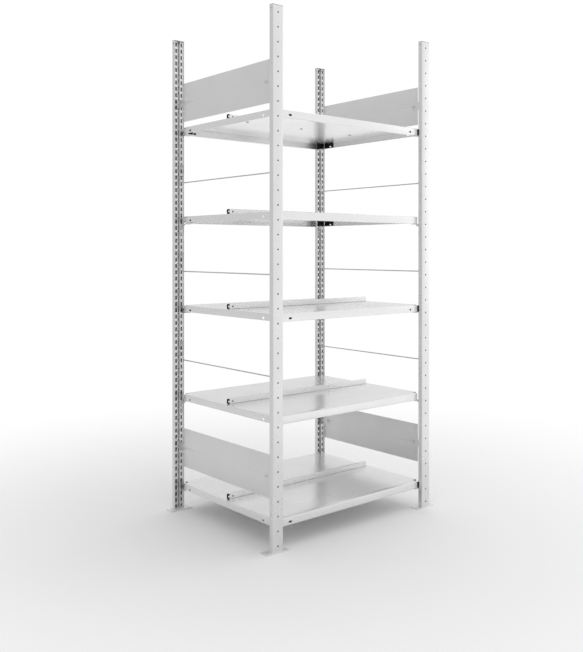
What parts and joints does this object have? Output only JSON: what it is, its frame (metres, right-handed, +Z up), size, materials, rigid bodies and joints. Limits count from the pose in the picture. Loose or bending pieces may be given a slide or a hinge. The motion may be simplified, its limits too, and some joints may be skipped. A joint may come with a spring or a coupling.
{
  "type": "library shelving",
  "caption": "Double sided steel library shelving bay: perforated uprights, clipped folded shelves with central stop rails, wire end guards and side plates on floor plates.",
  "frame": {"origin": "middle of the footprint on the floor", "axes": "+Z up, +X along the bay, +Y through the depth to the rear face"},
  "size_m": [0.849, 0.64, 1.85],
  "materials": {
    "painted_frame": "light grey powder coat, satin",
    "painted_shelf": "light grey powder coat, satin",
    "painted_wire": "light grey powder coat, satin",
    "zinc_steel": "bright zinc plate",
    "dark_plastic": "matt black moulded plastic"
  },
  "bodies": {
    "frame": {"upright_front_left": "painted_frame", "upright_cap_front_left": "dark_plastic", "shelf_clips_front_left": "zinc_steel", "upright_front_right": "painted_frame", "upright_cap_front_right": "dark_plastic", "shelf_clips_front_right": "zinc_steel", "upright_back_left": "painted_frame", "upright_cap_back_left": "dark_plastic", "shelf_clips_back_left": "zinc_steel", "upright_back_right": "painted_frame", "upright_cap_back_right": "dark_plastic", "shelf_clips_back_right": "zinc_steel", "shelf_1": "painted_shelf", "corner_blocks_1": "dark_plastic", "stop_rail_1": "painted_shelf", "rail_caps_1": "dark_plastic", "shelf_3": "painted_shelf", "corner_blocks_3": "dark_plastic", "stop_rail_3": "painted_shelf", "rail_caps_3": "dark_plastic", "shelf_5": "painted_shelf", "corner_blocks_5": "dark_plastic", "stop_rail_5": "painted_shelf", "rail_caps_5": "dark_plastic", "foot_plates": "painted_frame", "rail_screws_fixed": "zinc_steel", "shelf_locks": "dark_plastic", "side_plate_left_lower": "painted_frame", "plate_brackets_left_lower": "painted_frame", "plate_bolts_left_lower": "zinc_steel", "side_plate_left_upper": "painted_frame", "plate_brackets_left_upper": "painted_frame", "plate_bolts_left_upper": "zinc_steel", "wire_guard_left_1": "painted_wire", "wire_guard_left_2": "painted_wire", "wire_guard_left_3": "painted_wire", "side_plate_right_lower": "painted_frame", "plate_brackets_right_lower": "painted_frame", "plate_bolts_right_lower": "zinc_steel", "side_plate_right_upper": "painted_frame", "plate_brackets_right_upper": "painted_frame", "plate_bolts_right_upper": "zinc_steel", "wire_guard_right_1": "painted_wire", "wire_guard_right_2": "painted_wire", "wire_guard_right_3": "painted_wire"},
    "shelf_2_body": {"shelf_2": "painted_shelf", "corner_blocks_2": "dark_plastic", "stop_rail_2": "painted_shelf", "rail_caps_2": "dark_plastic", "rail_screws_2": "zinc_steel"},
    "shelf_4_body": {"shelf_4": "painted_shelf", "corner_blocks_4": "dark_plastic", "stop_rail_4": "painted_shelf", "rail_caps_4": "dark_plastic", "rail_screws_4": "zinc_steel"}
  },
  "joints": [
    {"name": "shelf_2_lift", "type": "slide", "parent": "frame", "child": "shelf_2_body", "axis": [0, 0, 1], "range_m": [0, 0.025]},
    {"name": "shelf_4_lift", "type": "slide", "parent": "frame", "child": "shelf_4_body", "axis": [0, 0, 1], "range_m": [0, 0.025]}
  ]
}
